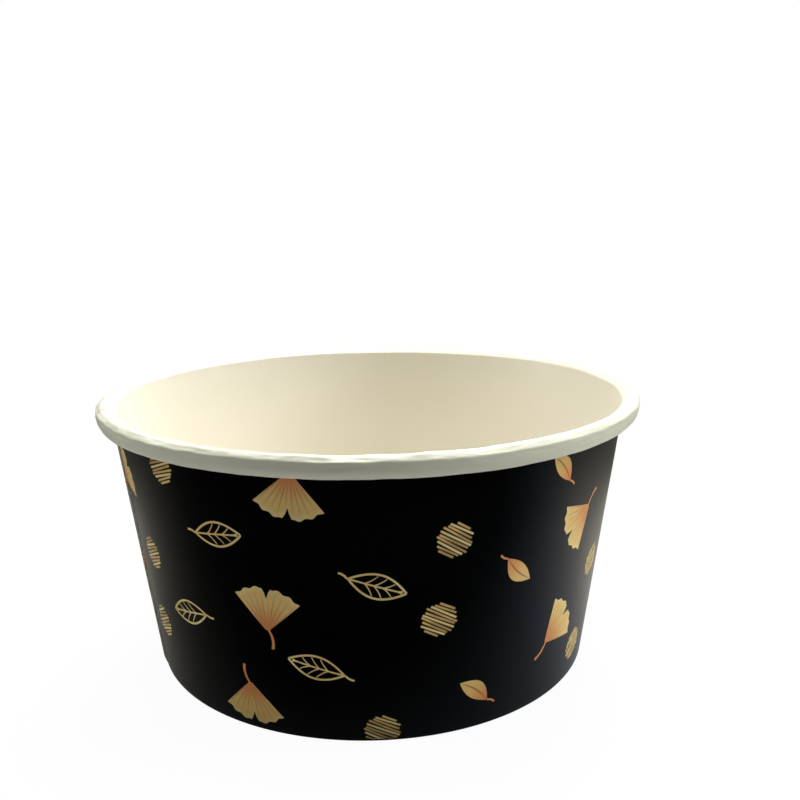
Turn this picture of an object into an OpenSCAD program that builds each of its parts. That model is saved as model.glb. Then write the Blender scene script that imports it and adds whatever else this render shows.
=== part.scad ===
// Paper dessert cup: one wrapped and rolled side wall, and a base disc held in its folded foot.
// +Z is up and the origin is the centre of the foot, on the table. The front is towards -Y.

/* [Cup] */
// Diameter across the outside of the rolled rim
rim_d = 96; // [86:1:120]
// Diameter of the wall's outer face, where it would meet the table
base_d = 78; // [64:1:84]
// Height from the table to the top of the rim
cup_h = 47; // [30:1:80]

/* [Board] */
// Thickness of the side wall's board
wall_t = 0.4; // [0.3:0.05:0.55]
// Thickness of the base disc's board
disc_t = 0.35; // [0.25:0.05:0.5]
// Sealed coating between two layers that are pressed together
film = 0.04; // [0.02:0.01:0.08]
// Thickness of the print and its varnish, outside the wall's board
ink_t = 0.02; // [0.01:0.01:0.05]

/* [Rolled rim] */
// Diameter of the roll
roll_d = 3.4; // [3:0.1:4.6]
// Gap between the turns of the roll
turn_gap = 0.1; // [0.05:0.05:0.2]
// Angle of the roll's last turn, which ends inside it
tuck_angle = 125; // [60:5:170]

/* [Side seam] */
// Width of the overlap, around the cup
lap_w = 7; // [4:0.5:12]
// Direction of the overlap's middle, counted from +X towards +Y
seam_at = 197; // [0:1:359]

/* [Foot] */
// Height of the hem that is folded up inside the foot
hem_h = 5.5; // [4:0.5:9]
// Inside radius of the hem's fold
crease_r = 0.1; // [0.05:0.01:0.14]
// Room between the hem's edge and the base disc
hem_gap = 0.6; // [0.4:0.1:1.5]
// Outside radius of the base disc's bend
bend_r = 0.6; // [0.55:0.05:0.9]
// Room between the fold and the edge of the base disc's skirt
skirt_gap = 0.3; // [0.1:0.1:1]

/* [Print] */
// Number of motifs around the cup
motif_count = 56; // [1:1:72]
// Length of the fan-shaped leaves, without their stems
fan_l = 7.5; // [4:0.5:12]
// Length of the outlined leaves
outline_l = 9; // [6:0.5:14]
// Width of the outlined leaves
outline_w = 4.2; // [3:0.2:6]
// Width of the line round the outlined leaves, and of the stems
line_w = 0.35; // [0.25:0.05:0.6]
// Length of the small leaves
small_l = 6.5; // [4:0.5:12]
// Width of the small leaves
small_w = 3; // [2:0.2:6]
// Diameter of the discs
spot_d = 5.4; // [3:0.2:10]

/* [Hidden] */
$fn = 60;

rim_r = rim_d / 2;
base_r = base_d / 2;
roll_r = roll_d / 2;

// The wall's outer face runs from the foot to the inside of the roll, at this angle from upright
roll_at = [rim_r - roll_r, cup_h - roll_r];
to_roll = [roll_at[0] - base_r, roll_at[1]];
lean = atan2(to_roll[0], to_roll[1]) - asin((roll_r - wall_t) / norm(to_roll));

// Point of the section, at height z, on the face that lies this deep inside the wall's outer face
function on_face(depth, z) = [base_r + z * tan(lean) - depth / cos(lean), z];
function polar(r, angle) = [r * cos(angle), r * sin(angle)];
// Points along an arc. One that runs on from the arc before it starts at its second point
function arc(at, r, from, to, steps, first = 0) =
    [for (i = [first : steps]) at + polar(r, from + (to - from) * i / steps)];

// Layers of the foot, counted from the wall's outer face
skirt_outside = wall_t + film;
skirt_inside = skirt_outside + disc_t;
hem_outside = skirt_inside + film;
foot_t = hem_outside + wall_t;

fold_r = crease_r + wall_t;
outer_fold_at = on_face(fold_r, fold_r);
inner_fold_at = on_face(foot_t - fold_r, fold_r);
fold_steps = 3;

// Each half turn of the roll is this much smaller than the one before, about two centres as far apart
turn_step = (wall_t + turn_gap) / 2;
roll_steps = 8;
tuck_steps = 4;

disc_z = hem_h + hem_gap;
skirt_z = fold_r + skirt_gap;
bend_steps = 4;

// Half the overlap as an angle, at the middle of the wall's height
lap_half = lap_w / (rim_r + base_r) * 180 / PI;

// The print ends where the wall goes into the roll
print_top = cup_h - roll_d;
// The motifs' order, by kind: 0 fan-shaped leaf, 1 outlined leaf, 2 disc, 3 small leaf
kinds = [0, 1, 2, 3, 0, 2, 1];
golden_angle = 137.508;
motif_turn = 77;
// How far a motif strays from its place in the spiral, around the cup in degrees and up or down in mm
stray_angle = 3;
stray_z = 2;
leaf_steps = 4;
fan_half = 44;
notch_half = 5;

// One face of the wall's board, from the hem's edge, round the fold, up the wall and into the roll.
// It lies this deep below the printed face, which is outside the cup and inside the roll
function board_face(depth) = let (inset = wall_t - depth) concat(
    [on_face(foot_t - depth, hem_h)],
    arc(inner_fold_at, fold_r - depth, 180 - lean, 270, fold_steps),
    arc(outer_fold_at, fold_r - depth, 270, 360 - lean, fold_steps),
    arc(roll_at, roll_r - inset, 180 - lean, 0, roll_steps),
    arc(roll_at + [turn_step, 0], roll_r - turn_step - inset, 0, -180, roll_steps, 1),
    arc(roll_at, roll_r - 2 * turn_step - inset, 180, 180 - tuck_angle, tuck_steps, 1)
);

function reversed(points) = [for (i = [len(points) - 1 : -1 : 0]) points[i]];

// Strip between two depths inside the wall's outer face and two heights
module strip(near, far, low, high) {
    polygon([on_face(near, low), on_face(near, high), on_face(far, high), on_face(far, low)]);
}

module over_the_lap() {
    rotate([0, 0, seam_at - lap_half]) rotate_extrude(angle = 2 * lap_half) children();
}

// Outline of a leaf with a point at both ends
function leaf(long, wide) = concat(
    [for (i = [0 : leaf_steps]) [wide / 2 * sin(180 * i / leaf_steps), long * (i / leaf_steps - 0.5)]],
    [for (i = [leaf_steps - 1 : -1 : 1]) [-wide / 2 * sin(180 * i / leaf_steps), long * (i / leaf_steps - 0.5)]]
);

// Leaf that spreads from its stem like a fan, with a notch in its edge
module fan_leaf() {
    from = [0, -fan_l / 2];
    edge_steps = 2;
    polygon(concat(
        [from],
        arc(from, fan_l, 90 - fan_half, 90 - notch_half, edge_steps),
        [from + [0, fan_l * 0.7]],
        arc(from, fan_l, 90 + notch_half, 90 + fan_half, edge_steps)
    ));
    translate(from - [line_w / 2, fan_l * 0.3]) square([line_w, fan_l * 0.4]);
}

module outlined_leaf() {
    difference() {
        polygon(leaf(outline_l, outline_w));
        polygon(leaf(outline_l - 5 * line_w, outline_w - 2 * line_w));
    }
    square([line_w, outline_l - 2 * line_w], center = true);
}

// Motifs of one kind. Each motif is turned on from the one before by the golden angle and stands a little higher
module scattered(kind) {
    for (i = [0 : motif_count - 1]) if (kinds[i % len(kinds)] == kind) {
        z = fold_r + (print_top - fold_r) * (i + 0.5) / motif_count + stray_z * sin(97 * i);
        rotate([0, 0, golden_angle * i + stray_angle * cos(61 * i)]) translate([0, 0, z])
            rotate([90, 0, 90]) linear_extrude(rim_d) rotate(motif_turn * i) children();
    }
}

// What a motif covers of the print's face, on the wall and on the outer layer of the overlap
module printed() {
    bite = wall_t / 2;
    intersection() {
        union() {
            rotate_extrude() strip(-2 * ink_t, bite, fold_r, print_top);
            over_the_lap() strip(-wall_t - 2 * ink_t, bite, fold_r, print_top);
        }
        children();
    }
}

// One blank of board: wrapped, lapped and glued, rolled outwards at the top and folded inwards at the foot
module sidewall() {
    // The layers that are added start inside the board, so that they join it
    bite = wall_t / 2;
    color("ivory") {
        rotate_extrude() polygon(concat(board_face(wall_t), reversed(board_face(0))));
        over_the_lap() strip(foot_t - bite, foot_t + wall_t, fold_r, hem_h);
    }
    color("#14151a") {
        rotate_extrude() strip(-ink_t, bite, fold_r, roll_at[1]);
        over_the_lap() strip(-wall_t - ink_t, bite, fold_r, print_top);
    }
    color("#c9893f") printed() {
        scattered(0) fan_leaf();
    }
    color("#d9c27a") printed() {
        scattered(1) outlined_leaf();
    }
    color("#b89a5e") printed() {
        scattered(2) circle(d = spot_d, $fn = 12);
    }
    color("#c1703a") printed() {
        scattered(3) polygon(leaf(small_l, small_w));
    }
}

// Disc whose edge is turned down into the foot, between the wall and the hem
module base_disc() {
    bend_at = on_face(skirt_outside + bend_r, disc_z + disc_t - bend_r);
    color("oldlace") rotate_extrude() polygon(concat(
        [[0, disc_z], [0, disc_z + disc_t]],
        arc(bend_at, bend_r, 90, -lean, bend_steps),
        [on_face(skirt_outside, skirt_z), on_face(skirt_inside, skirt_z)],
        arc(bend_at, bend_r - disc_t, -lean, 90, bend_steps)
    ));
}

sidewall();
base_disc();
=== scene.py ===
import math

import bpy
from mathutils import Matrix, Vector


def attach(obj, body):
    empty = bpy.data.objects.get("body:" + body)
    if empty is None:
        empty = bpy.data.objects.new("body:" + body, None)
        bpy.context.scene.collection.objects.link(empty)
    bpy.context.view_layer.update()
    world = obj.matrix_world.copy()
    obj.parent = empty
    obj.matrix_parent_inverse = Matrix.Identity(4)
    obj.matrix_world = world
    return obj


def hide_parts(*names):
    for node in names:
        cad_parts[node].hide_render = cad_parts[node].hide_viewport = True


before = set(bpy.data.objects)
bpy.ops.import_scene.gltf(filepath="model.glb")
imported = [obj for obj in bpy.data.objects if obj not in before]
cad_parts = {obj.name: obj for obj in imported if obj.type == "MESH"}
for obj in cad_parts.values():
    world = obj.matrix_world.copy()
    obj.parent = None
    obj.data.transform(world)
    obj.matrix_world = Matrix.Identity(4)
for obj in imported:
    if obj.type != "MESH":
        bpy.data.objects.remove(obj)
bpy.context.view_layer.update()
print("CAD part loaded")

mm = 0.001
tau = 2 * math.pi

# sizes in mm and degrees, the same as in the part's source
cup = {
    "rim": 96.0,
    "foot": 78.0,
    "height": 47.0,
    "board": 0.4,
    "roll": 3.4,
    "turnGap": 0.1,      # between the turns of the roll
    "tuck": 125.0,       # angle of the roll's last turn
    "hem": 5.5,
    "crease": 0.1,       # inside radius of the hem's fold
    "film": 0.04,        # coating between two layers that are sealed together
    "discBoard": 0.35,
    "hemGap": 0.6,       # from the hem's edge up to the base disc
    "bend": 0.6,         # outside radius of the base disc's bend
    "skirtGap": 0.3,     # from the fold up to the edge of the disc's skirt
}
rimR, footR, rollR = cup["rim"] / 2, cup["foot"] / 2, cup["roll"] / 2
rollAt = (rimR - rollR, cup["height"] - rollR)

# the wall's outer face runs from the foot to the inside of the roll, at this angle from upright
toRoll = (rollAt[0] - footR, rollAt[1])
lean = math.atan2(*toRoll) - math.asin((rollR - cup["board"]) / math.hypot(*toRoll))
leanDeg = math.degrees(lean)

# layers of the foot, as depths inside the wall's outer face
foldR = cup["crease"] + cup["board"]
skirtOut = cup["board"] + cup["film"]
skirtIn = skirtOut + cup["discBoard"]
footDepth = skirtIn + cup["film"] + cup["board"]

sharpAngle = 38.0        # edges that turn by more than this are drawn sharp
cloudSpan = (0.3, 0.7)   # the values between which the paper's clouds lie
grainDepth = 0.2         # how deep the paper's grain is drawn, in mm


# helpers for all node trees
def feed(tree, socket, value):
    if isinstance(value, bpy.types.NodeSocket):
        tree.links.new(value, socket)
    else:
        socket.default_value = value


def put(tree, kind, settings=None, feeds=None):
    node = tree.nodes.new(kind)
    for name, value in (settings or {}).items():
        setattr(node, name, value)
    for name, value in (feeds or {}).items():
        feed(tree, node.inputs[name], value)
    return node


def calc(tree, operation, *values):
    return put(tree, "ShaderNodeMath", {"operation": operation}, dict(enumerate(values))).outputs[0]


def plus(tree, first, *others):
    for other in others:
        first = calc(tree, "ADD", first, other)
    return first


def times(tree, first, *others):
    for other in others:
        first = calc(tree, "MULTIPLY", first, other)
    return first


def minus(tree, first, other):
    return calc(tree, "SUBTRACT", first, other)


def split(tree, vector):
    parts = put(tree, "ShaderNodeSeparateXYZ", None, {0: vector}).outputs
    return parts["X"], parts["Y"], parts["Z"]


def combine(tree, x, y, z):
    return put(tree, "ShaderNodeCombineXYZ", None, {"X": x, "Y": y, "Z": z}).outputs[0]


def onCircle(tree, radius, angle, height):
    # point at a radius and an angle round the cup's axis
    x = times(tree, calc(tree, "COSINE", angle), radius)
    y = times(tree, calc(tree, "SINE", angle), radius)
    return combine(tree, x, y, height)


def vectorCalc(tree, operation, feeds, output="Vector"):
    return put(tree, "ShaderNodeVectorMath", {"operation": operation}, feeds).outputs[output]


def mapRange(tree, value, fromLow, fromHigh, toLow=0.0, toHigh=1.0, curve="LINEAR"):
    node = put(tree, "ShaderNodeMapRange", {"interpolation_type": curve}, {
        "Value": value, "From Min": fromLow, "From Max": fromHigh, "To Min": toLow, "To Max": toHigh})
    return node.outputs[0]


def smoothRange(tree, value, fromLow, fromHigh, toLow=0.0, toHigh=1.0):
    return mapRange(tree, value, fromLow, fromHigh, toLow, toHigh, "SMOOTHSTEP")


def mixColor(tree, share, a, b):
    # a colour is a socket, or its red, green and blue
    node = put(tree, "ShaderNodeMix", {"data_type": "RGBA"}, {0: share})
    for index, color in ((6, a), (7, b)):
        feed(tree, node.inputs[index], (*color, 1.0) if isinstance(color, tuple) else color)
    return node.outputs[2]


def mixShaders(tree, share, a, b):
    return put(tree, "ShaderNodeMixShader", None, {0: share, 1: a.outputs[0], 2: b.outputs[0]}).outputs[0]


# helpers for meshes and Geometry Nodes
def meshObject(name, verts, faces, edges=()):
    mesh = bpy.data.meshes.new(name)
    mesh.from_pydata(verts, edges, faces)
    mesh.update()
    made = bpy.data.objects.new(name, mesh)
    bpy.context.scene.collection.objects.link(made)
    return made


def storePoints(mesh, name, kind, values):
    layer = mesh.attributes.new(name, kind, "POINT")
    key = "vector" if kind == "FLOAT_VECTOR" else "value"
    for item, value in zip(layer.data, values):
        setattr(item, key, value)


def geometryTree(name, sockets):
    # a tree with named inputs, which are listed by their kind
    tree = bpy.data.node_groups.new(name, "GeometryNodeTree")
    tree.is_modifier = True
    tree.interface.new_socket("Geometry", in_out="INPUT", socket_type="NodeSocketGeometry")
    for kind, labels in sockets.items():
        for label in labels:
            tree.interface.new_socket(label, in_out="INPUT", socket_type="NodeSocket" + kind)
    tree.interface.new_socket("Geometry", in_out="OUTPUT", socket_type="NodeSocketGeometry")
    return tree, put(tree, "NodeGroupInput").outputs


def runTree(holder, tree, values, name):
    # runs the tree on the holder, and gives back a plain mesh object in its place
    modifier = holder.modifiers.new(tree.name, "NODES")
    modifier.node_group = tree
    for item in tree.interface.items_tree:
        if item.in_out == "INPUT" and item.name != "Geometry":
            modifier[item.identifier] = values[item.name]
    depsgraph = bpy.context.evaluated_depsgraph_get()
    mesh = bpy.data.meshes.new_from_object(holder.evaluated_get(depsgraph))
    holder.modifiers.remove(modifier)
    mesh.name = name
    made = bpy.data.objects.new(name, mesh)
    bpy.context.scene.collection.objects.link(made)
    bpy.data.objects.remove(holder)
    return made


def change(tree, kind, geometry, feeds=None, settings=None):
    # a node that takes a geometry and gives it back changed
    return put(tree, "GeometryNode" + kind, settings, {"Geometry": geometry, **(feeds or {})}).outputs[0]


def setMark(tree, geometry, name, value):
    settings = {"data_type": "FLOAT", "domain": "POINT"}
    return change(tree, "StoreNamedAttribute", geometry, {"Name": name, "Value": value}, settings)


def getMark(tree, name):
    return put(tree, "GeometryNodeInputNamedAttribute", {"data_type": "FLOAT"}, {"Name": name}).outputs[0]


def position(tree):
    return put(tree, "GeometryNodeInputPosition").outputs[0]


def shapeOf(tree, thing):
    return put(tree, "GeometryNodeObjectInfo", None, {"Object": thing}).outputs["Geometry"]


# helpers for materials
def newMaterial(name):
    material = bpy.data.materials.new(name)
    material.use_nodes = True
    tree = material.node_tree
    return material, tree, tree.nodes["Principled BSDF"]


def objectPlace(tree):
    return put(tree, "ShaderNodeTexCoord").outputs["Object"]


def buildPaperGroup():
    # fine unevenness of coated paperboard: grain and slow cloudiness, with sizes in mm
    tree = bpy.data.node_groups.new("paperGrain", "ShaderNodeTree")
    tree.interface.new_socket("Vector", in_out="INPUT", socket_type="NodeSocketVector")
    for label, start in (("Grain size", 0.35), ("Cloud size", 14.0)):
        socket = tree.interface.new_socket(label, in_out="INPUT", socket_type="NodeSocketFloat")
        socket.default_value = start
    for label in ("Height", "Cloud"):
        tree.interface.new_socket(label, in_out="OUTPUT", socket_type="NodeSocketFloat")
    given = put(tree, "NodeGroupInput").outputs

    def noise(size, detail, roughness):
        return put(tree, "ShaderNodeTexNoise", None, {
            "Vector": given["Vector"], "Scale": calc(tree, "DIVIDE", 1 / mm, given[size]),
            "Detail": detail, "Roughness": roughness}).outputs[0]

    put(tree, "NodeGroupOutput", None, {
        "Height": noise("Grain size", 3.0, 0.6), "Cloud": noise("Cloud size", 2.0, 0.5)})
    return tree


paperGrain = buildPaperGroup()


def addPaper(tree, shader, grain, cloud, bump):
    # the paper's grain as a bump, and its clouds for the other inputs
    paper = put(tree, "ShaderNodeGroup", {"node_tree": paperGrain}, {
        "Vector": objectPlace(tree), "Grain size": grain, "Cloud size": cloud}).outputs
    grained = put(tree, "ShaderNodeBump", None, {
        "Height": paper["Height"], "Strength": bump, "Distance": grainDepth * mm})
    feed(tree, shader.inputs["Normal"], grained.outputs[0])
    return paper["Cloud"]


boardFinish = {
    # the inside and the rim are the same board: the inside's deeper cream is painted bounce light from the
    # cup's own walls
    "inside": (0.85, 0.81, 0.70),
    "insideCloudWithBounceTint": (0.82, 0.785, 0.67),      # in the paper's clouds, as is the higher roughness
    "rim": (0.85, 0.85, 0.68),
    "rimReach": (44.65, 45.1),      # the rim's tone, free of the inside's painted bounce light, comes in between these distances from the cup's axis
    "roughness": (0.34, 0.43),
    "grain": 0.5,
    "cloud": 16.0,
    "bump": 0.05,
}


def makeBoard():
    material, tree, shader = newMaterial("coated_board")
    cloud = addPaper(tree, shader, boardFinish["grain"], boardFinish["cloud"], boardFinish["bump"])
    # the inside's cream holds painted bounce light, and is darker in the paper's clouds
    bounceTintedCream = mixColor(tree, cloud, boardFinish["inside"], boardFinish["insideCloudWithBounceTint"])
    x, y, _ = split(tree, objectPlace(tree))
    fromAxis = vectorCalc(tree, "LENGTH", {0: combine(tree, x, y, 0.0)}, "Value")
    rimFrom, rimTo = boardFinish["rimReach"]
    rimShare = smoothRange(tree, fromAxis, rimFrom * mm, rimTo * mm)
    feed(tree, shader.inputs["Base Color"], mixColor(tree, rimShare, bounceTintedCream, boardFinish["rim"]))
    feed(tree, shader.inputs["Roughness"], mapRange(tree, cloud, *cloudSpan, *boardFinish["roughness"]))
    return material


printFinish = {
    "black": (0.0010, 0.0012, 0.0016),
    "blackLight": (0.0018, 0.0022, 0.0028),
    "lightReach": (0.35, 0.65),     # the black gets lighter between these values of the clouds
    "gloss": 0.35,
    "roughness": (0.27, 0.35),
    "grain": 0.45,
    "cloud": 22.0,
    "bump": 0.05,
}


def makePrintGround():
    material, tree, shader = newMaterial("satin_black_print")
    cloud = addPaper(tree, shader, printFinish["grain"], printFinish["cloud"], printFinish["bump"])
    share = mapRange(tree, cloud, *printFinish["lightReach"])
    black = mixColor(tree, share, printFinish["black"], printFinish["blackLight"])
    feed(tree, shader.inputs["Base Color"], black)
    feed(tree, shader.inputs["Roughness"], mapRange(tree, cloud, *cloudSpan, *printFinish["roughness"]))
    shader.inputs["Specular IOR Level"].default_value = printFinish["gloss"]
    return material


boardMaterial = makeBoard()
blackMaterial = makePrintGround()
print("board and print ground materials ready")


# side wall: the board's section, as points with marks, is wrapped round by Geometry Nodes
sideWall = {
    "columns": 540,         # around the cup
    "hemSteps": 5,          # along each stretch of the section
    "foldSteps": 5,
    "wallSteps": 10,
    "rollSteps": 42,
    "innerSteps": 12,
    "tuckSteps": 5,
    "seamAt": 197.0,        # direction of the lap's middle, from +X towards +Y
    "lap": 7.0,
    "climb": 9.0,           # length in which the outer layer climbs over the inner one
    "lapRise": 0.3,
    "lapGrows": (0.15, 1.25),   # heights between which the lap's step grows to its full rise
    "lapBulge": 0.08,       # the roll is this much thicker where the lap runs into it
    "cutPull": 0.93,        # how close the columns next to a cut edge are drawn to it, as a share
    "rimDents": 1.0,        # depth of the rim's dents
    "dentsRound": 6.5,      # how closely the dents follow each other: round the rim, up and outwards
    "dentsUp": 0.9,
    "dentsOut": 0.7,
    "dentShoulder": (0.2, 1.3),     # the dents deepen towards the roll's outer shoulder
    "dentLeast": 0.35,      # share of their depth that the dents have inside
    "rimSway": 0.5,         # the rim stands this much higher on its high side
    "highSide": 5.0,
    "rollFlats": ((52.0, 0.915), (90.0, 0.925), (124.0, 0.90)),   # angle, share of the roll's radius
    "rollOutside": 0.77,    # share of the radius outside, and of the depth below
    "rollBelow": 1.18,
    "rollCrisp": 30,        # higher makes the flats flatter and their corners sharper
}

# the forming tool presses the upper half of the roll into soft flats, from its outside to the wall,
# and leaves the lower half a little narrow outside and drooping
rollFlats = ((0.0, sideWall["rollOutside"]), *sideWall["rollFlats"], (180.0 - leanDeg, 1.0))


def onFace(depth, z):
    # point at height z, this deep inside the wall's outer face
    return (footR + z * math.tan(lean) - depth / math.cos(lean), z)


def arc(at, r, start, end, steps, first=0):
    points = []
    for i in range(first, steps + 1):
        a = math.radians(start + (end - start) * i / steps)
        points.append((at[0] + r * math.cos(a), at[1] + r * math.sin(a)))
    return points


def between(a, b, steps, closerEnds=False):
    # points on the line from a to b, without its ends
    points = []
    for i in range(1, steps):
        t = i / steps
        if closerEnds:
            t = (1 - math.cos(math.pi * t)) / 2
        points.append((a[0] + (b[0] - a[0]) * t, a[1] + (b[1] - a[1]) * t))
    return points


def pressed(r, z):
    # point of the roll after the forming tool
    x, y = r - rollAt[0], z - rollAt[1]
    if y < 0:
        wide = sideWall["rollOutside"] if x > 0 else 1.0
        return rollAt[0] + x * wide, rollAt[1] + y * sideWall["rollBelow"]
    crisp = sideWall["rollCrisp"]
    away = min(math.atan2(y, x), math.pi - lean)
    reach = [math.cos(away - math.radians(angle)) / share for angle, share in rollFlats]
    size = sum(max(value, 0.0) ** crisp for value in reach) ** (-1 / crisp)
    return rollAt[0] + x * size, rollAt[1] + y * size


def lapShare(z):
    low, high = sideWall["lapGrows"]
    return min(1.0, max(0.0, (z - low) / (high - low)))


def boardFace(depth, printed):
    # one face of the board, from the hem's edge to the end of the roll. A point is its radius and height,
    # then its marks: printed side, share of the lap's step, share of the roll
    foldInside = foldR - depth
    rollOutside = rollR - cup["board"] + depth
    halfTurn = (cup["board"] + cup["turnGap"]) / 2
    innerAt = (rollAt[0] + halfTurn, rollAt[1])
    hemTop = onFace(footDepth - depth, cup["hem"])
    innerFoldAt, outerFoldAt = onFace(footDepth - foldR, foldR), onFace(foldR, foldR)
    innerFold = arc(innerFoldAt, foldInside, 180 - leanDeg, 270, sideWall["foldSteps"])
    outerFold = arc(outerFoldAt, foldInside, 270, 360 - leanDeg, sideWall["foldSteps"])
    roll = arc(rollAt, rollOutside, 180 - leanDeg, 0, sideWall["rollSteps"])
    inner = arc(innerAt, rollOutside - halfTurn, 0, -180, sideWall["innerSteps"], 1)
    tuck = arc(rollAt, rollOutside - 2 * halfTurn, 180, 180 - cup["tuck"], sideWall["tuckSteps"], 1)
    hem = [hemTop] + between(hemTop, innerFold[0], sideWall["hemSteps"])
    # closer at both ends, where the lap's step grows and where the print stops
    wall = between(outerFold[-1], roll[0], sideWall["wallSteps"], True)
    face = [(r, z, printed, 0.0, 0.0) for r, z in hem + innerFold]
    face += [(r, z, printed, lapShare(z), 0.0) for r, z in outerFold + wall]
    face += [(*pressed(r, z), printed, 0.0, 1.0) for r, z in roll + inner + tuck]
    return face


def wrapTree():
    tree, given = geometryTree("wrapBoard", {
        "Int": ["Columns"],
        "Float": ["Seam angle", "Lap half angle", "Climb angle", "Lap rise", "Lap bulge", "Cut pull",
                  "Roll radius", "Roll height", "Roll size", "Rim dents", "Dents round", "Dents up",
                  "Dents out", "Shoulder from", "Shoulder to", "Dent least", "Rim sway", "High side"],
        "Material": ["Bare board", "Print"]})
    section = given["Geometry"]
    count = put(tree, "GeometryNodeAttributeDomainSize", None, {"Geometry": section}).outputs["Point Count"]
    grid = put(tree, "GeometryNodeMeshGrid", None, {
        "Size X": 1.0, "Vertices X": plus(tree, given["Columns"], 1.0),
        "Size Y": 1.0, "Vertices Y": plus(tree, count, 1.0)}).outputs["Mesh"]
    gridX, gridY, _ = split(tree, position(tree))
    column = calc(tree, "ROUND", times(tree, plus(tree, gridX, 0.5), given["Columns"]))
    row = calc(tree, "ROUND", times(tree, plus(tree, gridY, 0.5), count))
    row = calc(tree, "FLOORED_MODULO", row, count)
    step = calc(tree, "DIVIDE", tau, given["Columns"])
    azimuth = times(tree, column, step)

    def sampled(field, kind="FLOAT"):
        return put(tree, "GeometryNodeSampleIndex", {"data_type": kind, "domain": "POINT"}, {
            "Geometry": section, "Value": field, "Index": row}).outputs[0]

    sectionR, _, sectionZ = split(tree, sampled(position(tree), "FLOAT_VECTOR"))
    printed, lap, roll = (sampled(getMark(tree, name)) for name in ("printed", "lapShare", "rollShare"))

    # angle from the middle of the lap, and how far the outer layer has climbed over the inner one
    fromSeam = calc(tree, "WRAP", minus(tree, azimuth, given["Seam angle"]), math.pi, -math.pi)
    half = given["Lap half angle"]
    minusHalf = times(tree, half, -1.0)
    climb = smoothRange(tree, fromSeam, minus(tree, minusHalf, given["Climb angle"]), minusHalf)
    outside = times(tree, climb, calc(tree, "LESS_THAN", fromSeam, half))
    inside = times(tree, climb, calc(tree, "LESS_THAN", fromSeam, minusHalf))
    layer = plus(tree, times(tree, outside, printed), times(tree, inside, minus(tree, 1.0, printed)))
    rise = times(tree, layer, lap, given["Lap rise"])

    # the columns next to a cut edge are drawn close to it, so that the edge is crisp
    turned = azimuth
    for edge in (half, minusHalf):
        away = minus(tree, fromSeam, edge)
        near = calc(tree, "LESS_THAN", calc(tree, "ABSOLUTE", away), step)
        turned = minus(tree, turned, times(tree, away, given["Cut pull"], near))

    # the rim was rolled by machine, so it is a little dented, and it stands a little higher on one side
    rollX = calc(tree, "DIVIDE", minus(tree, sectionR, given["Roll radius"]), given["Roll size"])
    rollZ = calc(tree, "DIVIDE", minus(tree, sectionZ, given["Roll height"]), given["Roll size"])
    noise = put(tree, "ShaderNodeTexNoise", {"noise_dimensions": "4D"}, {
        "Vector": onCircle(tree, given["Dents round"], turned, times(tree, rollZ, given["Dents up"])),
        "W": times(tree, rollX, given["Dents out"]), "Scale": 1.0, "Detail": 3.0, "Roughness": 0.6})
    outwards = plus(tree, rollX, rollZ)
    share = smoothRange(tree, outwards, given["Shoulder from"], given["Shoulder to"], given["Dent least"])
    dent = times(tree, minus(tree, noise.outputs[0], 0.5), share, given["Rim dents"])
    bulge = times(tree, minus(tree, outside, inside), given["Lap bulge"])
    push = times(tree, plus(tree, dent, bulge), roll)
    towards = calc(tree, "MAXIMUM", calc(tree, "COSINE", minus(tree, azimuth, given["High side"])), 0.0)
    sway = times(tree, towards, towards, given["Rim sway"], roll)
    radius = plus(tree, sectionR, rise, times(tree, push, rollX))
    height = plus(tree, sectionZ, sway, times(tree, push, rollZ))

    # marks for the materials. A face has the mean of its corners' marks
    fromCut = minus(tree, fromSeam, half)
    marks = put(tree, "GeometryNodeCaptureAttribute", {"domain": "POINT"})
    for name in ("ink", "nearCut", "beforeCut"):
        marks.capture_items.new("FLOAT", name)
    feed(tree, marks.inputs["Geometry"], grid)
    feed(tree, marks.inputs["ink"], times(tree, printed, minus(tree, 1.0, roll)))
    nearCut = calc(tree, "LESS_THAN", calc(tree, "ABSOLUTE", fromCut), times(tree, step, 1.5))
    feed(tree, marks.inputs["nearCut"], nearCut)
    feed(tree, marks.inputs["beforeCut"], calc(tree, "LESS_THAN", fromCut, 0.0))
    shaped = change(tree, "SetPosition", marks.outputs["Geometry"], {
        "Position": onCircle(tree, radius, turned, height)})
    closed = change(tree, "MergeByDistance", shaped, {"Distance": 0.001 * mm})

    # the print covers the printed side up to the roll, but not the board's cut edge, whose faces have
    # all corners near the cut and half of them before it
    acrossCut = calc(tree, "COMPARE", marks.outputs["beforeCut"], 0.5, 0.2)
    cutEdge = times(tree, acrossCut, calc(tree, "GREATER_THAN", marks.outputs["nearCut"], 0.9))
    inked = times(tree, calc(tree, "GREATER_THAN", marks.outputs["ink"], 0.6), minus(tree, 1.0, cutEdge))
    whole = change(tree, "RealizeInstances", closed)
    bare = change(tree, "SetMaterial", whole, {"Material": given["Bare board"]})
    covered = change(tree, "SetMaterial", bare, {"Selection": inked, "Material": given["Print"]})
    put(tree, "NodeGroupOutput", None, {"Geometry": covered})
    return tree


def faceOutwards(obj):
    # a closed shell with a negative volume is inside out
    mesh = obj.data
    mesh.calc_loop_triangles()
    volume = sum(mesh.vertices[a].co.dot(mesh.vertices[b].co.cross(mesh.vertices[c].co))
                 for a, b, c in (t.vertices for t in mesh.loop_triangles)) / 6
    if volume < 0:
        mesh.flip_normals()
    mesh.shade_smooth()
    mesh.set_sharp_from_angle(angle=math.radians(sharpAngle))
    print(obj.name, "volume mm3", round(abs(volume) / mm ** 3), "triangles", len(mesh.loop_triangles))


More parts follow.
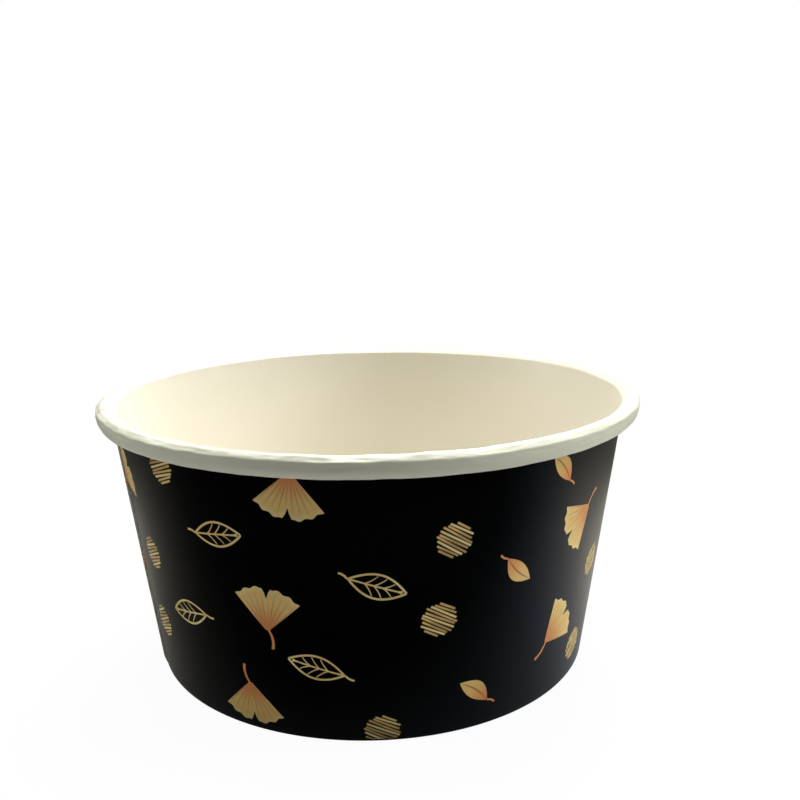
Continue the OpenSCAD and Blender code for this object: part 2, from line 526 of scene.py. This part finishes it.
def makeSideWall():
    section = boardFace(0.0, 1.0) + boardFace(cup["board"], 0.0)[::-1]
    points = [(r * mm, 0, z * mm) for r, z, *_ in section]
    holder = meshObject("section", points, [], [(i, i + 1) for i in range(len(points) - 1)])
    for number, name in ((2, "printed"), (3, "lapShare"), (4, "rollShare")):
        storePoints(holder.data, name, "FLOAT", [point[number] for point in section])
    middleR = (rimR + footR) / 2
    shoulderFrom, shoulderTo = sideWall["dentShoulder"]
    return runTree(holder, wrapTree(), {
        "Columns": sideWall["columns"],
        "Seam angle": math.radians(sideWall["seamAt"]),
        "Lap half angle": sideWall["lap"] / 2 / middleR,
        "Climb angle": sideWall["climb"] / middleR,
        "Lap rise": sideWall["lapRise"] * mm,
        "Lap bulge": sideWall["lapBulge"] * mm,
        "Cut pull": sideWall["cutPull"],
        "Roll radius": rollAt[0] * mm,
        "Roll height": rollAt[1] * mm,
        "Roll size": rollR * mm,
        "Rim dents": sideWall["rimDents"] * mm,
        "Dents round": sideWall["dentsRound"],
        "Dents up": sideWall["dentsUp"],
        "Dents out": sideWall["dentsOut"],
        "Shoulder from": shoulderFrom,
        "Shoulder to": shoulderTo,
        "Dent least": sideWall["dentLeast"],
        "Rim sway": sideWall["rimSway"] * mm,
        "High side": math.radians(sideWall["highSide"]),
        "Bare board": boardMaterial,
        "Print": blackMaterial,
    }, "side_wall")


wall = makeSideWall()
faceOutwards(wall)
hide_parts("sidewall")
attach(wall, "root")
print("side wall ready")


# base disc: its board's section, turned round the axis, with a point in the middle of each face
baseDisc = {
    "columns": 240,
    "rings": 14,
    "bendSteps": 8,
}


def discSection():
    low = cup["hem"] + cup["hemGap"]
    top = low + cup["discBoard"]
    bendAt = onFace(skirtOut + cup["bend"], top - cup["bend"])
    rings = [bendAt[0] * i / baseDisc["rings"] for i in range(1, baseDisc["rings"])]
    upper = [(r, top) for r in rings]
    upper += arc(bendAt, cup["bend"], 90, -leanDeg, baseDisc["bendSteps"])
    upper.append(onFace(skirtOut, foldR + cup["skirtGap"]))
    lower = [onFace(skirtIn, foldR + cup["skirtGap"])]
    lower += arc(bendAt, cup["bend"] - cup["discBoard"], -leanDeg, 90, baseDisc["bendSteps"])
    lower += [(r, low) for r in reversed(rings)]
    return upper + lower


def makeDisc():
    section, columns = discSection(), baseDisc["columns"]
    count = len(section)
    verts = [(0, 0, section[0][1] * mm), (0, 0, section[-1][1] * mm)]
    faces = []
    for column in range(columns):
        a = tau * column / columns
        verts += [(r * math.cos(a) * mm, r * math.sin(a) * mm, z * mm) for r, z in section]
        here, there = 2 + column * count, 2 + (column + 1) % columns * count
        faces += [(here + i, here + i + 1, there + i + 1, there + i) for i in range(count - 1)]
        faces.append((0, here, there))
        faces.append((1, there + count - 1, here + count - 1))
    made = meshObject("base_disc_board", verts, faces)
    made.data.materials.append(boardMaterial)
    return made


discPiece = makeDisc()
faceOutwards(discPiece)
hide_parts("base_disc")
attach(discPiece, "root")
print("base disc ready")


# printed motifs: drawn flat and life-size in mm, then laid on the wall by Geometry Nodes.
# For the material, u runs across a leaf from 0 to 1 and v along it
lineTone = 2.0              # u of lines and stems
brightTone = 1.0            # u of every third stroke of a disc


def curved(a, b, sag, steps):
    # points from a to b on a bow
    ax, ay = a
    bx, by = b
    points = []
    for i in range(steps + 1):
        t = i / steps
        bow = sag * 4 * t * (1 - t)
        points.append((ax + (bx - ax) * t - (by - ay) * bow, ay + (by - ay) * t + (bx - ax) * bow))
    return points


class FlatDrawing:
    # collects faces in a plane, with a place on the motif for the material
    def __init__(self):
        self.verts, self.faces, self.place = [], [], []

    def grid(self, rows):
        # rows of (x, y, u, v), each of the same length
        start, width = len(self.verts), len(rows[0])
        for row in rows:
            for x, y, u, v in row:
                self.verts.append((x * mm, y * mm, 0.0))
                self.place.append((u, v, 0.0))
        for j in range(len(rows) - 1):
            for i in range(width - 1):
                a = start + j * width + i
                corners = (a, a + 1, a + width + 1, a + width)
                self.faces.append(corners if self.turnsLeft(corners) else corners[::-1])

    def turnsLeft(self, corners):
        # a face that turns left here faces outwards on the wall
        (ax, ay, _), (bx, by, _), (cx, cy, _), (dx, dy, _) = (self.verts[index] for index in corners)
        return (cx - ax) * (dy - by) - (cy - ay) * (dx - bx) > 0

    def line(self, points, width, tone=lineTone, taper=1.0):
        # the taper is its end's width as a share of its start's
        rows = []
        last = len(points) - 1
        for i, (x, y) in enumerate(points):
            x0, y0 = points[max(i - 1, 0)]
            x1, y1 = points[min(i + 1, last)]
            long = math.hypot(x1 - x0, y1 - y0)
            half = width / 2 * (1 + (taper - 1) * i / last)
            dx, dy = -(y1 - y0) / long * half, (x1 - x0) / long * half
            rows.append([(x + dx, y + dy, tone, i / last), (x - dx, y - dy, tone, i / last)])
        self.grid(rows)

    def stem(self, long, form):
        # its start and end are shares of the leaf's length
        endX, endY = form["end"]
        points = curved((0, long * form["start"]), (long * endX, long * endY), form["bow"], form["steps"])
        self.line(points, form["width"], taper=form["taper"])

    def make(self, name):
        made = meshObject(name, self.verts, self.faces)
        storePoints(made.data, "motifPlace", "FLOAT_VECTOR", self.place)
        return made


fanLeaf = {
    "size": 7.5,
    "spread": 88.0,
    "heart": 0.05,          # shares of its size: where the leaf starts, its edge and the notch's bottom
    "edge": 0.99,
    "notch": 0.72,
    "notchHalf": 5.0,       # half the notch's width, in degrees
    "ripple": 0.022,
    "ripplePace": 38.0,
    "across": 32,
    "along": 8,
    "stem": {"start": -0.42, "end": (0.1, -0.88), "bow": 0.12, "steps": 6, "width": 0.34, "taper": 1.5},
}


def drawFan():
    # leaf that spreads from its stem like a fan, notched in its edge
    size, heart, drawing = fanLeaf["size"], fanLeaf["heart"], FlatDrawing()
    rows = []
    for j in range(fanLeaf["along"] + 1):
        along = j / fanLeaf["along"]
        row = []
        for i in range(fanLeaf["across"] + 1):
            share = i / fanLeaf["across"]
            fromMiddle = fanLeaf["spread"] * (share - 0.5)
            outOfNotch = min(1.0, abs(fromMiddle) / fanLeaf["notchHalf"])
            edge = fanLeaf["notch"] + (fanLeaf["edge"] - fanLeaf["notch"]) * outOfNotch
            edge += fanLeaf["ripple"] * math.cos(share * fanLeaf["ripplePace"])
            r = size * (heart + (edge - heart) * along)
            a = math.radians(90 + fromMiddle)
            row.append((r * math.cos(a), r * math.sin(a) - size / 2, share, along))
        rows.append(row)
    drawing.grid(rows)
    drawing.stem(size, fanLeaf["stem"])
    return drawing.make("fan_leaf")


leafCurve = 0.9             # lower makes the pointed leaves fuller


def leafSide(long, wide, t):
    # point on a leaf's side, at the share t of its length
    return wide / 2 * math.sin(math.pi * t) ** leafCurve, long * (t - 0.5)


outlinedLeaf = {
    "long": 9.0,
    "wide": 4.2,
    "line": 0.35,
    "sideSteps": 20,
    "ribs": 4,              # on each side of the middle rib
    "ribStart": 0.14,       # shares of the leaf's length: place, distance and climb of the ribs
    "ribStep": 0.15,
    "ribClimb": 0.17,
    "ribShort": 0.45,       # a rib stops this far inside the leaf's side
    "ribWidth": 0.62,       # shares of the outline's width, for these ribs and the middle one
    "ribBow": 0.05,
    "ribSteps": 4,
    "ribTaper": 0.7,
    "middleWidth": 0.8,
    "middleSteps": 12,
    "stem": {"start": -0.5, "end": (-0.05, -0.66), "bow": -0.1, "steps": 3, "width": 0.35, "taper": 1.0},
}


def drawOutlined():
    # pointed leaf in outline, with its ribs
    leaf, drawing = outlinedLeaf, FlatDrawing()
    long, wide, line = leaf["long"], leaf["wide"], leaf["line"]
    shares = [i / leaf["sideSteps"] for i in range(leaf["sideSteps"] + 1)]
    side = [leafSide(long - line, wide - line, share) for share in shares]
    for sign in (1, -1):
        drawing.line([(sign * x, y) for x, y in side], line)
        for k in range(1, leaf["ribs"] + 1):
            t = leaf["ribStart"] + leaf["ribStep"] * k
            x, y = leafSide(long, wide, t + leaf["ribClimb"])
            tip = (sign * (x - leaf["ribShort"]), y)
            rib = curved((0, long * (t - 0.5)), tip, leaf["ribBow"] * sign, leaf["ribSteps"])
            drawing.line(rib, line * leaf["ribWidth"], taper=leaf["ribTaper"])
    middle = [(0, long * (i / leaf["middleSteps"] - 0.5)) for i in range(leaf["middleSteps"])]
    drawing.line(middle, line * leaf["middleWidth"])
    drawing.stem(long, leaf["stem"])
    return drawing.make("outlined_leaf")


strokeDisc = {
    "across": 5.4,
    "strokes": 10,
    "width": 0.34,
    "unevenWidth": (0.05, 3.1),     # the strokes differ as if drawn by hand: by how much, and how often
    "unevenReach": (0.16, 2.3),
    "unevenTilt": (0.09, 1.7),
}


def uneven(name, k):
    size, pace = strokeDisc[name]
    return size * math.sin(k * pace)


def drawDisc():
    # disc made of strokes that lie side by side
    r, drawing = strokeDisc["across"] / 2, FlatDrawing()
    for k in range(strokeDisc["strokes"]):
        y = r * (2 * (k + 0.5) / strokeDisc["strokes"] - 1)
        reach = math.sqrt(r * r - y * y) + uneven("unevenReach", k)
        tilt = uneven("unevenTilt", k)
        width = strokeDisc["width"] + uneven("unevenWidth", k)
        steps = int(reach * 2)
        along = [2 * i / steps - 1 for i in range(steps + 1)]
        drawing.line([(reach * share, y + tilt * share) for share in along], width, k % 3)
    return drawing.make("stroke_disc")


smallLeaf = {
    "long": 6.5,
    "wide": 3.0,
    "bow": 0.07,
    "across": 8,
    "along": 14,
    "tip": 0.004,           # the tips are a hair wide, because a face with no width would be a stray one
    "stem": {"start": -0.5, "end": (0.05, -0.74), "bow": 0.1, "steps": 3, "width": 0.3, "taper": 1.2},
}


def drawSmall():
    # small pointed leaf, filled, on a short stem
    long, tip, drawing = smallLeaf["long"], smallLeaf["tip"], FlatDrawing()
    rows = []
    for j in range(smallLeaf["along"] + 1):
        t = tip + (1 - 2 * tip) * j / smallLeaf["along"]
        half, y = leafSide(long, smallLeaf["wide"], t)
        bow = smallLeaf["bow"] * long * math.sin(math.pi * t)
        shares = [i / smallLeaf["across"] for i in range(smallLeaf["across"] + 1)]
        rows.append([(bow + half * (2 * share - 1), y, share, t) for share in shares])
    drawing.grid(rows)
    drawing.stem(long, smallLeaf["stem"])
    return drawing.make("small_leaf")


# each motif is turned on from the one before by the golden angle and stands a little higher
motifs = {
    "count": 56,
    "kinds": (0, 1, 2, 3, 0, 2, 1),     # their order: 0 fan leaf, 1 outlined leaf, 2 disc, 3 small leaf
    "goldenAngle": 137.508,
    "turn": 77.0,           # how far each is turned on the wall from the one before
    "strayAngle": 3.0,      # how far a motif strays from its place, around the cup and up or down
    "strayHeight": 2.0,
    "strayAngleStep": 61.0,     # degrees from one motif's stray to the next one's
    "strayHeightStep": 97.0,
    "belowRoll": 0.2,       # the motifs end this far below the roll
    "proud": 0.02,          # and lie this far outside the wall
    "rayStart": 2.0,        # where a motif starts outside the wall, and how far it may be moved inwards
    "rayLength": 10.0,
}


def scatterTree():
    tree, given = geometryTree("scatterPrint", {
        "Object": ["Motif", "Wall"],
        "Int": ["Count", "Kinds", "First place", "Last place"],
        "Float": ["Golden angle", "Turn", "Stray angle", "Stray angle step", "Stray height",
                  "Stray height step", "Foot radius", "Lean", "Low", "High", "Proud", "Ray start",
                  "Ray length"],
        "Material": ["Ink"]})
    index = put(tree, "GeometryNodeInputIndex").outputs[0]

    def turned(step):
        # each motif's angle, for a step from one to the next
        return calc(tree, "RADIANS", times(tree, index, given[step]))

    place = calc(tree, "FLOORED_MODULO", index, given["Kinds"])
    first, last = (calc(tree, "COMPARE", place, given[name], 0.1) for name in ("First place", "Last place"))
    others = calc(tree, "LESS_THAN", plus(tree, first, last), 0.5)
    strayed = times(tree, given["Stray angle"], calc(tree, "COSINE", turned("Stray angle step")))
    azimuth = calc(tree, "RADIANS", plus(tree, times(tree, index, given["Golden angle"]), strayed))
    share = calc(tree, "DIVIDE", plus(tree, index, 0.5), given["Count"])
    spiral = times(tree, share, minus(tree, given["High"], given["Low"]))
    bob = times(tree, given["Stray height"], calc(tree, "SINE", turned("Stray height step")))
    points = put(tree, "GeometryNodePoints", None, {"Count": given["Count"]}).outputs[0]
    points = setMark(tree, points, "motifAzimuth", azimuth)
    points = setMark(tree, points, "motifHeight", plus(tree, given["Low"], spiral, bob))
    points = setMark(tree, points, "motifTurn", turned("Turn"))
    kept = change(tree, "DeleteGeometry", points, {"Selection": others}, {"domain": "POINT"})
    spread = put(tree, "GeometryNodeInstanceOnPoints", None, {
        "Points": kept, "Instance": shapeOf(tree, given["Motif"]),
        "Rotation": combine(tree, 0.0, 0.0, getMark(tree, "motifTurn"))}).outputs[0]
    laid = change(tree, "RealizeInstances", spread)

    # flat place on the motif to an angle and a height on the cone, then inwards until it meets the wall
    flatX, flatY, _ = split(tree, position(tree))
    free = plus(tree, getMark(tree, "motifHeight"), flatY)
    z = calc(tree, "MAXIMUM", given["Low"], calc(tree, "MINIMUM", given["High"], free))
    moved = calc(tree, "GREATER_THAN", calc(tree, "ABSOLUTE", minus(tree, free, z)), 0.001 * mm)
    laid = setMark(tree, laid, "beyond", moved)
    radius = plus(tree, given["Foot radius"], times(tree, z, given["Lean"]))
    angle = plus(tree, getMark(tree, "motifAzimuth"), calc(tree, "DIVIDE", flatX, radius))
    bent = change(tree, "SetPosition", laid, {
        "Position": onCircle(tree, plus(tree, radius, given["Ray start"]), angle, z)})
    hereX, hereY, _ = split(tree, position(tree))
    away = vectorCalc(tree, "NORMALIZE", {0: combine(tree, hereX, hereY, 0.0)})
    ray = put(tree, "GeometryNodeRaycast", None, {
        "Target Geometry": shapeOf(tree, given["Wall"]),
        "Ray Direction": vectorCalc(tree, "SCALE", {0: away, "Scale": -1.0}),
        "Ray Length": given["Ray length"]}).outputs
    lifted = vectorCalc(tree, "SCALE", {0: away, "Scale": given["Proud"]})
    onWall = vectorCalc(tree, "ADD", {0: ray["Hit Position"], 1: lifted})
    draped = change(tree, "SetPosition", bent, {"Selection": ray["Is Hit"], "Position": onWall})

    # the rim and the foot cut off the faces that lie beyond them with all corners
    lost = calc(tree, "GREATER_THAN", getMark(tree, "beyond"), 0.99)
    cut = change(tree, "DeleteGeometry", draped, {"Selection": lost}, {"domain": "FACE"})
    whole = change(tree, "RealizeInstances", cut)
    inked = change(tree, "SetMaterial", whole, {"Material": given["Ink"]})
    put(tree, "NodeGroupOutput", None, {"Geometry": inked})
    return tree


inks = {
    "gold": (0.92, 0.63, 0.20),
    "paleGold": (0.95, 0.79, 0.34),
    "orange": (0.84, 0.32, 0.09),
    "rust": (0.42, 0.11, 0.03),
    "brown": (0.56, 0.37, 0.12),
    "roughness": 0.4,
    "cloud": 5.0,
    "fanGold": (0.1, 0.75),             # two places on the leaf, then the shares of the colour there
    "fanPale": (0.85, 1.0, 0.0, 0.7),
    "fanRibs": 9,
    "fanRibWave": (0.72, 0.95),
    "fanRibFade": (0.95, 0.45, 0.0, 0.75),
    "smallGold": (0.05, 0.7),
    "smallRib": (0.06, 0.03, 0.0, 0.8),
    "linePatches": (0.35, 0.65),        # two values of the paper's clouds
    "strokePatches": (0.4, 0.6),
}


def makeInk(name, paint):
    # ink under the same varnish as the ground
    material, tree, shader = newMaterial(name)
    cloud = addPaper(tree, shader, printFinish["grain"], inks["cloud"], printFinish["bump"])
    place = put(tree, "ShaderNodeAttribute", {"attribute_name": "motifPlace"}).outputs["Vector"]
    u, v, _ = split(tree, place)
    feed(tree, shader.inputs["Base Color"], paint(tree, u, v, cloud))
    shader.inputs["Roughness"].default_value = inks["roughness"]
    return material


def stemInk(tree, u, body):
    # the stem is orange, whatever the leaf is
    return mixColor(tree, calc(tree, "GREATER_THAN", u, lineTone - 0.5), body, inks["orange"])


def fanInk(tree, u, v, cloud):
    # orange at the stem, gold towards the edge, with spreading ribs
    body = mixColor(tree, smoothRange(tree, v, *inks["fanGold"]), inks["orange"], inks["gold"])
    body = mixColor(tree, mapRange(tree, v, *inks["fanPale"]), body, inks["paleGold"])
    wave = calc(tree, "SINE", times(tree, u, inks["fanRibs"] * tau))
    ribs = times(tree, mapRange(tree, wave, *inks["fanRibWave"]), mapRange(tree, v, *inks["fanRibFade"]))
    return stemInk(tree, u, mixColor(tree, ribs, body, inks["rust"]))


def lineInk(tree, u, v, cloud):
    # gold that is paler here and there
    return mixColor(tree, mapRange(tree, cloud, *inks["linePatches"]), inks["paleGold"], inks["gold"])


def strokeInk(tree, u, v, cloud):
    # gold and brown in patches, and every third stroke pale
    body = mixColor(tree, mapRange(tree, cloud, *inks["strokePatches"]), inks["gold"], inks["brown"])
    return mixColor(tree, calc(tree, "COMPARE", u, brightTone, 0.2), body, inks["paleGold"])


def smallInk(tree, u, v, cloud):
    # orange at the stem, gold towards the tip, with a rib in the middle
    body = mixColor(tree, smoothRange(tree, v, *inks["smallGold"]), inks["orange"], inks["gold"])
    rib = mapRange(tree, calc(tree, "ABSOLUTE", minus(tree, u, 0.5)), *inks["smallRib"])
    return stemInk(tree, u, mixColor(tree, rib, body, inks["rust"]))


scatter = scatterTree()
printTop = cup["height"] - cup["roll"]
printPieces = (
    ("print_fan_leaves", drawFan, fanInk),
    ("print_outlined_leaves", drawOutlined, lineInk),
    ("print_stroke_discs", drawDisc, strokeInk),
    ("print_small_leaves", drawSmall, smallInk),
)
for kind, (name, draw, paint) in enumerate(printPieces):
    motif = draw()
    places = [place for place, other in enumerate(motifs["kinds"]) if other == kind]
    piece = runTree(meshObject(name + "_holder", [(0, 0, 0)], []), scatter, {
        "Motif": motif,
        "Wall": wall,
        "Count": motifs["count"],
        "Kinds": len(motifs["kinds"]),
        "First place": places[0],
        "Last place": places[-1],
        "Golden angle": motifs["goldenAngle"],
        "Turn": motifs["turn"],
        "Stray angle": motifs["strayAngle"],
        "Stray angle step": motifs["strayAngleStep"],
        "Stray height": motifs["strayHeight"] * mm,
        "Stray height step": motifs["strayHeightStep"],
        "Foot radius": footR * mm,
        "Lean": math.tan(lean),
        "Low": foldR * mm,
        "High": (printTop - motifs["belowRoll"]) * mm,
        "Proud": motifs["proud"] * mm,
        "Ray start": motifs["rayStart"] * mm,
        "Ray length": motifs["rayLength"] * mm,
        "Ink": makeInk(name + "_ink", paint),
    }, name)
    bpy.data.objects.remove(motif)
    piece.data.shade_smooth()
    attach(piece, "root")
    print(name, "faces", len(piece.data.polygons))
print("printed motifs ready")


# floor and room, in metres
studio = {
    "floorHalf": 3.0,
    "floorTone": 0.95,
    "floorRoughness": 0.9,
    "floorGloss": 0.1,
    "floorNear": 0.60,      # how much light the floor throws back on the cup, from close by and from afar
    "floorFar": 0.03,
    "floorReach": (0.08, 0.22),
    "shadowShare": 0.04,    # how much of the floor's shadow the camera sees, next to the cup
    "shadowReach": (0.055, 0.13),
    "mirrorFront": (-0.055, 0.03),   # the print mirrors a dark floor in front and a bright one behind
    "mirrorTurn": 0.16,              # the line between them is turned this much
    "mirrorReach": (0.07, 0.14),     # the bright floor fades from the first distance to the second
    "mirrorFar": 0.2,
    "mirrorSides": (-0.05, 0.05),    # from the left side to the right one
    "mirrorLeft": 0.54,
    "mirrorRight": 0.90,
    "mirrorCool": (0.72, 0.92, 1.22),     # at the right front
    "mirrorWarm": (1.05, 0.99, 0.86),
    "roomColor": (1.0, 0.99, 0.97),
    "roomDark": 0.0,        # the room in front of the cup and below it
    "roomBright": 0.40,     # the room above and behind
    "roomAxis": (0.25, 0.55, 0.8),
    "roomFade": (-0.3, 1.0),
}


def makeFloor():
    half = studio["floorHalf"]
    corners = [(-half, -half, 0), (half, -half, 0), (half, half, 0), (-half, half, 0)]
    floor = meshObject("floor", corners, [(0, 1, 2, 3)])
    material, tree, shader = newMaterial("pale_floor")
    rays = put(tree, "ShaderNodeLightPath").outputs
    seen, glossy = rays["Is Camera Ray"], rays["Is Glossy Ray"]
    place = objectPlace(tree)
    x, y, _ = split(tree, place)
    away = vectorCalc(tree, "LENGTH", {0: place}, "Value")

    # the floor as the camera sees it, and as it lights the cup
    bounce = smoothRange(tree, away, *studio["floorReach"], studio["floorNear"], studio["floorFar"])
    unseen = times(tree, minus(tree, 1.0, seen), bounce)
    feed(tree, shader.inputs["Base Color"], plus(tree, times(tree, seen, studio["floorTone"]), unseen))
    shader.inputs["Roughness"].default_value = studio["floorRoughness"]
    shader.inputs["Specular IOR Level"].default_value = studio["floorGloss"]

    # the glow that the print mirrors
    right = mapRange(tree, x, *studio["mirrorSides"])
    back = plus(tree, y, times(tree, x, studio["mirrorTurn"]))
    behind = smoothRange(tree, back, *studio["mirrorFront"])
    side = mapRange(tree, right, 0.0, 1.0, studio["mirrorLeft"], studio["mirrorRight"])
    close = smoothRange(tree, away, *studio["mirrorReach"], 1.0, studio["mirrorFar"])
    mirrored = times(tree, glossy, close, behind, side)
    cool = times(tree, right, minus(tree, 1.0, behind))
    tint = mixColor(tree, cool, studio["mirrorWarm"], studio["mirrorCool"])

    # the camera sees a white glow instead, with a trace of the shadow next to the cup
    glow = put(tree, "ShaderNodeEmission", None, {
        "Color": mixColor(tree, seen, tint, (1.0, 1.0, 1.0)), "Strength": plus(tree, seen, mirrored)})
    white = smoothRange(tree, away, *studio["shadowReach"], 1.0 - studio["shadowShare"], 1.0)
    mixed = mixShaders(tree, plus(tree, times(tree, seen, white), glossy), shader, glow)
    feed(tree, tree.nodes["Material Output"].inputs["Surface"], mixed)
    floor.data.materials.append(material)


def makeWorld():
    # a soft room, brighter above and behind, that the camera sees as white
    world = bpy.data.worlds.new("studio")
    bpy.context.scene.world = world
    world.use_nodes = True
    tree = world.node_tree
    tree.nodes.clear()
    direction = put(tree, "ShaderNodeTexCoord").outputs["Generated"]
    axis = Vector(studio["roomAxis"]).normalized()
    along = vectorCalc(tree, "DOT_PRODUCT", {0: direction, 1: axis}, "Value")
    level = smoothRange(tree, along, *studio["roomFade"], studio["roomDark"], studio["roomBright"])
    room = put(tree, "ShaderNodeBackground", None, {"Color": (*studio["roomColor"], 1.0), "Strength": level})
    white = put(tree, "ShaderNodeBackground", None, {"Color": (1.0, 1.0, 1.0, 1.0), "Strength": 1.0})
    seen = put(tree, "ShaderNodeLightPath").outputs["Is Camera Ray"]
    put(tree, "ShaderNodeOutputWorld", None, {"Surface": mixShaders(tree, seen, room, white)})


# places and sizes in metres, power in watts. Each lamp is aimed at this height on the cup's axis
lamps = {
    "back_lamp": {
        "place": (0.16, 0.60, 0.58), "aim": 0.04,
        "size": (0.45, 0.3), "power": 6.0, "color": (1.0, 1.0, 0.99)},
    "top_lamp": {
        "place": (-0.02, 0.10, 0.80), "aim": 0.03,
        "size": (0.5, 0.5), "power": 4.2, "color": (1.0, 1.0, 1.0)},
    "right_lamp": {
        "place": (0.73, 0.0, 0.46), "aim": 0.03,
        "size": (0.3, 0.5), "power": 3.8, "color": (1.0, 1.0, 1.0)},
    "left_lamp": {
        "place": (-0.70, 0.10, 0.30), "aim": 0.03,
        "size": (0.3, 0.5), "power": 1.5, "color": (1.0, 0.99, 0.97)},
}


def makeLamp(name, place, aim, size, power, color):
    lamp = bpy.data.lights.new(name, "AREA")
    lamp.shape = "RECTANGLE"
    lamp.size, lamp.size_y = size
    lamp.energy = power
    lamp.color = color
    made = bpy.data.objects.new(name, lamp)
    made.location = place
    made.rotation_euler = (Vector((0.0, 0.0, aim)) - Vector(place)).to_track_quat("-Z", "Y").to_euler()
    bpy.context.scene.collection.objects.link(made)


# the lens, the place in metres and the turn in radians come from a camera fitted to the photo's outlines
photoCamera = {
    "sensor": 36.0,
    "lens": 40.453,
    "nearest": 0.01,
    "place": (0.005521, -0.160911, 0.078877),
    "turn": (1.3595938, 0.0098981, -0.0016829),
}


def makeCamera():
    lens = bpy.data.cameras.new("camera")
    lens.sensor_width = photoCamera["sensor"]
    lens.lens = photoCamera["lens"]
    lens.clip_start = photoCamera["nearest"]
    camera = bpy.data.objects.new("camera", lens)
    camera.location = photoCamera["place"]
    camera.rotation_euler = photoCamera["turn"]
    bpy.context.scene.collection.objects.link(camera)
    bpy.context.scene.camera = camera


makeFloor()
makeWorld()
for name, lamp in lamps.items():
    makeLamp(name, **lamp)
makeCamera()
bpy.context.scene.view_settings.view_transform = "Standard"
print("studio ready")
